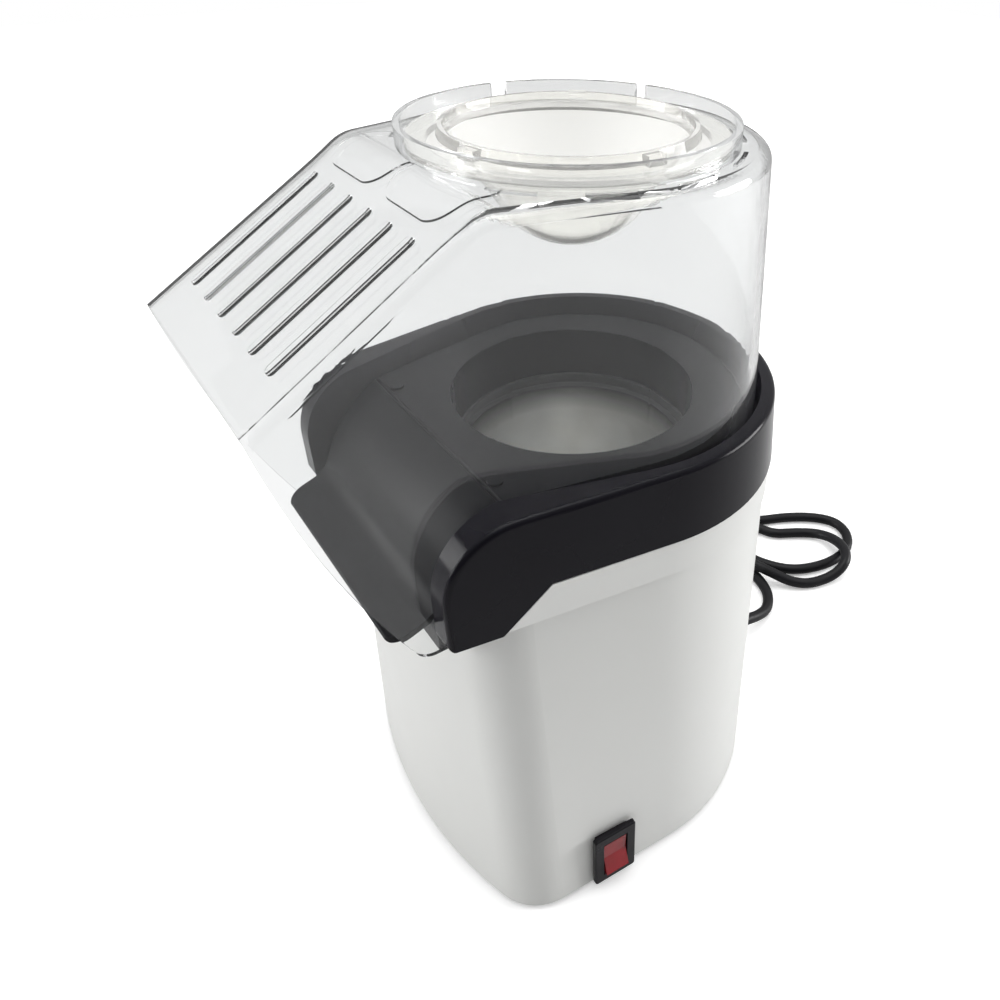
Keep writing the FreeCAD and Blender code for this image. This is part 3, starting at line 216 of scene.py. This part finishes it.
white = Paint("white_shell", (0.78, 0.785, 0.765), 0.34, ior=1.5)
white.mottled((0.785, 0.79, 0.772), (0.765, 0.77, 0.748), 9.0)
white.rough_between(0.30, 0.40, 60.0)
white.grain(1400.0, 0.00004, 0.25)
paints["white_shell"] = white

deck = Paint("deck_black", (0.005, 0.005, 0.006), 0.3, ior=1.5)
deck.mottled((0.0045, 0.0045, 0.0055), (0.0065, 0.0065, 0.0078), 14.0)
deck.rough_between(0.28, 0.34, 20.0)
deck.set("Specular IOR Level", 0.09)
paints["deck_black"] = deck

band = Paint("gloss_black", (0.006, 0.0055, 0.008), 0.16, ior=1.5)
band.mottled((0.0045, 0.004, 0.0065), (0.0065, 0.006, 0.009), 20.0)
band.rough_between(0.12, 0.20, 30.0)
band.grain(240.0, 0.00003, 0.15)
band.set("Specular IOR Level", 0.15)
paints["gloss_black"] = band

lid_paint = clear_paint("clear_plastic", (0.968, 0.975, 0.975), 0.012, 1.38, 0.97)
lid_paint.rough_between(0.0, 0.03, 35.0)
lid_paint.set("Transmission Weight", 0.99)
lid_paint.grain(30.0, 0.00005, 0.10)
paints["clear_plastic"] = lid_paint

cup_paint = clear_paint("cup_clear", (0.975, 0.97, 0.945), 0.02, 1.33, 0.96)
cup_paint.rough_between(0.0, 0.05, 40.0)
cup_paint.set("Transmission Weight", 0.88)
cup_paint.grain(40.0, 0.00005, 0.12)
paints["cup_clear"] = cup_paint

chamber = Paint("chamber_aluminium", (0.36, 0.36, 0.35), 0.42, 1.0)
stains = chamber.ranged(chamber.noise(26.0, 5.0), 0, 1)
dull = chamber.blend_color(stains, (0.74, 0.745, 0.74), (0.56, 0.557, 0.53))
height = chamber.node("ShaderNodeSeparateXYZ", Vector=chamber.coords).outputs["Z"]
# painted shade under the chamber's rim: the base colour turns near black over the last stretch below the rim
rim_shade_mask = chamber.ranged(height, 0, 1, CHAMBER_RIM_Z - RIM_SHADE_START, CHAMBER_RIM_Z - RIM_SHADE_END)
chamber.feed(chamber.shader.inputs["Base Color"], chamber.blend_color(rim_shade_mask, dull, (0.035, 0.035, 0.036)))
chamber.rough_between(0.34, 0.55, 40.0)
chamber.grain(500.0, 0.0001, 0.3, stretch=(1, 1, 0.15))
paints["chamber_aluminium"] = chamber

rocker_paint = Paint("rocker_red", (0.42, 0.012, 0.02), 0.2, ior=1.49)
rocker_paint.mottled((0.44, 0.012, 0.022), (0.33, 0.008, 0.014), 160.0)
rocker_paint.rough_between(0.12, 0.26, 120.0)
rocker_paint.set("Transmission Weight", 0.35)
paints["rocker_red"] = rocker_paint


def moulded(name, light, dark, low, high, grain_scale=900.0, grain_depth=0.00008, specular=0.5):
    """Plastic or rubber between two shades and two roughnesses, with a moulded grain."""
    paint = Paint(name, light, (low + high) / 2)
    paint.mottled(light, dark, 40.0)
    paint.rough_between(low, high, 90.0)
    paint.grain(grain_scale, grain_depth, 0.35)
    paint.set("Specular IOR Level", specular)
    paints[name] = paint
    return paint


def metal(name, light, dark, low, high, stretch=(1, 1, 0.08)):
    """Metal between two shades and two roughnesses, drawn or turned along Z."""
    paint = Paint(name, light, (low + high) / 2, 1.0)
    paint.mottled(light, dark, 60.0)
    paint.rough_between(low, high, 140.0, stretch=stretch)
    paint.grain(900.0, 0.00005, 0.35, stretch=stretch)
    paints[name] = paint
    return paint


moulded("black_matt", (0.030, 0.030, 0.032), (0.020, 0.020, 0.022), 0.5, 0.65)
moulded("rubber_black", (0.028, 0.028, 0.028), (0.018, 0.018, 0.019), 0.7, 0.85, 1500.0, 0.0001)
moulded("silicone_seal", (0.02, 0.02, 0.021), (0.013, 0.013, 0.014), 0.6, 0.75)
moulded("mica", (0.62, 0.54, 0.40), (0.48, 0.40, 0.28), 0.6, 0.8, 500.0, 0.0001)
moulded("duct_plastic", (0.12, 0.12, 0.12), (0.09, 0.09, 0.09), 0.5, 0.65)
moulded("cap_plastic", (0.80, 0.80, 0.76), (0.72, 0.72, 0.68), 0.4, 0.55)
moulded("fan_plastic", (0.68, 0.68, 0.66), (0.6, 0.6, 0.58), 0.4, 0.55)
moulded("board_green", (0.50, 0.38, 0.18), (0.42, 0.31, 0.14), 0.5, 0.6)
moulded("diode_black", (0.025, 0.025, 0.026), (0.018, 0.018, 0.019), 0.35, 0.5)
moulded("switch_black", (0.007, 0.006, 0.009), (0.005, 0.004, 0.006), 0.26, 0.38, specular=0.2)
moulded("cord_black", (0.009, 0.009, 0.011), (0.006, 0.006, 0.007), 0.36, 0.5, 1100.0, 0.00006, 0.22)
moulded("tie_black", (0.012, 0.012, 0.013), (0.008, 0.008, 0.009), 0.5, 0.65, specular=0.3)
moulded("plug_black", (0.010, 0.010, 0.012), (0.007, 0.007, 0.008), 0.42, 0.55, 800.0, 0.0001, 0.3)
moulded("wire_white", (0.80, 0.80, 0.76), (0.7, 0.7, 0.66), 0.4, 0.55)
moulded("wire_brown", (0.22, 0.10, 0.05), (0.16, 0.07, 0.03), 0.4, 0.55)
moulded("wire_blue", (0.04, 0.13, 0.45), (0.03, 0.09, 0.34), 0.4, 0.55)
moulded("magnet_dark", (0.11, 0.11, 0.11), (0.07, 0.07, 0.07), 0.6, 0.75)
metal("steel_zinc", (0.62, 0.63, 0.65), (0.52, 0.53, 0.55), 0.22, 0.36)
metal("shield_steel", (0.60, 0.60, 0.60), (0.50, 0.50, 0.50), 0.3, 0.45)
metal("heater_wire", (0.34, 0.31, 0.30), (0.22, 0.19, 0.18), 0.4, 0.6)
metal("thermostat_steel", (0.60, 0.60, 0.57), (0.5, 0.5, 0.47), 0.25, 0.4)
metal("fuse_aluminium", (0.7, 0.7, 0.7), (0.6, 0.6, 0.6), 0.25, 0.4)
metal("motor_steel", (0.6, 0.6, 0.62), (0.5, 0.5, 0.52), 0.25, 0.38)
metal("bush_brass", (0.7, 0.52, 0.24), (0.6, 0.43, 0.18), 0.3, 0.45)
metal("armature_steel", (0.45, 0.43, 0.40), (0.36, 0.34, 0.31), 0.35, 0.5)
metal("copper_brass", (0.75, 0.42, 0.24), (0.62, 0.33, 0.17), 0.25, 0.4)
metal("steel_shaft", (0.70, 0.70, 0.72), (0.6, 0.6, 0.62), 0.15, 0.28)
metal("bracket_steel", (0.6, 0.6, 0.6), (0.5, 0.5, 0.5), 0.28, 0.42)
metal("terminal_brass", (0.72, 0.66, 0.45), (0.6, 0.53, 0.33), 0.25, 0.4)
metal("blade_brass", (0.76, 0.72, 0.58), (0.66, 0.60, 0.44), 0.2, 0.34)


def dress_frame():
    """Every CAD node takes the material of its slot."""
    for part in frame["record"]["subparts"]:
        thing = frame["nodes"][part["node"]]
        thing.data.materials.clear()
        thing.data.materials.append(paints[part["material_slot"]].material)


dress_frame()

# ---------------------------------------------------------------- power cord
CORD_RADIUS = 0.003
FLOOR_CORD = 0.0032      # height of the cord's centre where it lies on the floor
COIL_X, COIL_Y, COIL_R = -0.118, 0.157, 0.032
COIL_TURNS = 2.5
COIL_RISE = 0.0062       # per turn
COIL_STEPS = 14          # points per turn
ROUTE = [
    (0.0090, 0.1182, 0.0140), (0.0090, 0.1282, 0.0128), (0.0080, 0.1400, 0.0080), (0.0044, 0.1520, 0.0038),
    (-0.0046, 0.1616, FLOOR_CORD), (-0.0160, 0.1656, FLOOR_CORD), (-0.0290, 0.1665, FLOOR_CORD),
    (-0.0460, 0.1660, FLOOR_CORD), (-0.0600, 0.1750, FLOOR_CORD), (-0.0660, 0.1910, FLOOR_CORD),
    (-0.0558, 0.2029, FLOOR_CORD), (-0.0478, 0.2213, FLOOR_CORD), (-0.0376, 0.2358, FLOOR_CORD),
    (-0.0261, 0.2440, FLOOR_CORD), (-0.0139, 0.2414, FLOOR_CORD), (-0.0046, 0.2314, FLOOR_CORD),
    (-0.0013, 0.2184, FLOOR_CORD), (-0.0029, 0.2039, FLOOR_CORD), (-0.0089, 0.1893, FLOOR_CORD),
    (-0.0185, 0.1804, FLOOR_CORD), (-0.0330, 0.1738, FLOOR_CORD), (-0.0480, 0.1770, FLOOR_CORD),
    (-0.0560, 0.1880, FLOOR_CORD), (-0.0520, 0.1985, FLOOR_CORD), (-0.0406, 0.2021, FLOOR_CORD),
    (-0.0339, 0.2141, FLOOR_CORD), (-0.0254, 0.2252, FLOOR_CORD), (-0.0130, 0.2262, 0.0072),
    (-0.0005, 0.2221, 0.0100), (0.0073, 0.2144, 0.0100), (0.0087, 0.2070, 0.0062),
    (0.0070, 0.1982, FLOOR_CORD), (0.0033, 0.1857, FLOOR_CORD), (-0.0040, 0.1780, 0.0042),
    (-0.0110, 0.1729, 0.0072), (-0.0187, 0.1677, 0.0098), (-0.0306, 0.1645, 0.0098),
    (-0.0446, 0.1636, 0.0098), (-0.0611, 0.1680, 0.0098), (-0.0797, 0.1791, 0.0068),
    (-0.0980, 0.1934, FLOOR_CORD)]
TAIL = [
    (-0.1040, 0.1240, 0.0179), (-0.0900, 0.1226, 0.0125), (-0.0760, 0.1238, 0.0084), (-0.0640, 0.1246, 0.0074)]


def coil_points():
    """Tied coil between the run on the floor and the short lead to the plug."""
    count = round(COIL_TURNS * COIL_STEPS)
    for k in range(count + 1):
        turn = k / COIL_STEPS
        angle = math.pi / 2 + turn * math.tau
        yield (COIL_X + COIL_R * math.cos(angle), COIL_Y + COIL_R * math.sin(angle),
               FLOOR_CORD + COIL_RISE * turn)


def spline_object(name, points, radius):
    curve = bpy.data.curves.new(name, "CURVE")
    curve.dimensions = "3D"
    curve.bevel_depth = radius
    curve.bevel_resolution = 6
    curve.resolution_u = 10
    curve.use_fill_caps = True
    spline = curve.splines.new("NURBS")
    spline.points.add(len(points) - 1)
    for place, point in zip(points, spline.points):
        point.co = (*place, 1)
    spline.order_u = 3
    spline.use_endpoint_u = True
    thing = bpy.data.objects.new(name, curve)
    bpy.context.scene.collection.objects.link(thing)
    return thing


cord = spline_object("cord_run", ROUTE + list(coil_points()) + TAIL, CORD_RADIUS)
cord.data.materials.append(paints["cord_black"].material)
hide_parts("power_cord", "cord_coil", "plug_lead")
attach(cord, "base")

# ---------------------------------------------------------------- floor and light
TOWARDS_VIEWER = (0.80, -0.60, 0.0)
FLOOR_HALF = 2.4
FLOOR_BOUNCE = 0.60      # shade for light that the floor throws back
FLOOR_SEEN = 0.96        # shade seen directly
FLOOR_GLOW = 0.27        # near the object
FLOOR_GLOW_FAR = 0.7     # towards the floor's edge, so that no horizon shows
GLOW_FROM, GLOW_TO = 0.4, 1.2
WORLD_LOW = 0.38         # at the horizon
WORLD_HIGH = 0.85        # overhead
WORLD_DARK = 0.2         # share that is left on the viewer's side


def add_floor():
    """White paper, kept darker for what it bounces back so that the tower's own shading shows."""
    mesh = bpy.data.meshes.new("floor")
    half = FLOOR_HALF
    corners = [(-half, -half, 0), (half, -half, 0), (half, half, 0), (-half, half, 0)]
    mesh.from_pydata(corners, [], [(0, 1, 2, 3)])
    floor = bpy.data.objects.new("floor", mesh)
    bpy.context.scene.collection.objects.link(floor)
    paint = Paint("floor_white", (0.95, 0.95, 0.95), 0.7)
    seen = seen_plainly(paint.tree)
    shade = paint.blend_color(seen, (FLOOR_BOUNCE,) * 3, (FLOOR_SEEN,) * 3)
    paint.feed(paint.shader.inputs["Base Color"], shade)
    paint.set("Specular IOR Level", 0.1)
    paint.set("Emission Color", (1, 1, 1, 1))
    glow = paint.node("ShaderNodeMath", Value=seen)
    glow.operation = "MULTIPLY"
    reach = paint.node("ShaderNodeVectorMath", Vector=paint.coords)
    reach.operation = "LENGTH"
    paint.feed(glow.inputs[1], paint.ranged(reach.outputs["Value"], FLOOR_GLOW, FLOOR_GLOW_FAR,
                                             GLOW_FROM, GLOW_TO))
    paint.feed(paint.shader.inputs["Emission Strength"], glow.outputs[0])
    mesh.materials.append(paint.material)


def add_panel(name, place, target, size, power, size_y=None):
    """Soft box at place, turned to target; size in metres, power in watts."""
    lamp = bpy.data.lights.new(name, "AREA")
    lamp.shape = "RECTANGLE"
    lamp.size = size
    lamp.size_y = size_y or size
    lamp.energy = power
    thing = bpy.data.objects.new(name, lamp)
    thing.location = place
    thing.rotation_euler = (Vector(target) - Vector(place)).to_track_quat("-Z", "Y").to_euler()
    bpy.context.scene.collection.objects.link(thing)


def add_world():
    """Soft room: bright overhead, dark behind the viewer; seen directly it is plain white."""
    world = bpy.data.worlds.new("studio")
    world.use_nodes = True
    tree = world.node_tree

    def node(kind, **inputs):
        made = tree.nodes.new(kind)
        for name, value in inputs.items():
            socket = made.inputs[name.replace("_", " ")]
            if isinstance(value, bpy.types.NodeSocket):
                tree.links.new(value, socket)
            else:
                socket.default_value = value
        return made

    where = node("ShaderNodeTexCoord").outputs["Generated"]
    height = node("ShaderNodeSeparateXYZ", Vector=where).outputs["Z"]
    by_height = node("ShaderNodeMapRange", Value=height, From_Min=-0.1, From_Max=0.8, To_Min=WORLD_LOW,
                     To_Max=WORLD_HIGH).outputs["Result"]
    along = tree.nodes.new("ShaderNodeVectorMath")
    along.operation = "DOT_PRODUCT"
    tree.links.new(where, along.inputs[0])
    along.inputs[1].default_value = TOWARDS_VIEWER
    by_side = node("ShaderNodeMapRange", Value=along.outputs["Value"], From_Min=0.0, From_Max=0.85,
                   To_Min=1.0, To_Max=WORLD_DARK).outputs["Result"]
    both = tree.nodes.new("ShaderNodeMath")
    both.operation = "MULTIPLY"
    tree.links.new(by_height, both.inputs[0])
    tree.links.new(by_side, both.inputs[1])
    room = tree.nodes["Background"]
    room.inputs["Color"].default_value = (1, 1, 1, 1)
    tree.links.new(both.outputs[0], room.inputs["Strength"])
    seen = node("ShaderNodeBackground", Color=(1, 1, 1, 1))
    mix = node("ShaderNodeMixShader", Fac=seen_plainly(tree))
    tree.links.new(room.outputs[0], mix.inputs[1])
    tree.links.new(seen.outputs[0], mix.inputs[2])
    tree.links.new(mix.outputs[0], tree.nodes["World Output"].inputs["Surface"])
    bpy.context.scene.world = world


add_floor()
add_world()
add_panel("panel_front", (-0.8, -1.35, 0.55), (0, 0, 0.10), 1.0, 14.0, 0.8)
add_panel("panel_rear", (0.75, 1.5, 0.5), (0, 0, 0.12), 0.9, 19.0, 0.7)
add_panel("panel_top", (-0.1, 0.1, 1.8), (0, 0, 0), 1.4, 14.0)

bpy.context.scene.view_settings.view_transform = "Standard"
bpy.context.scene.view_settings.look = "None"
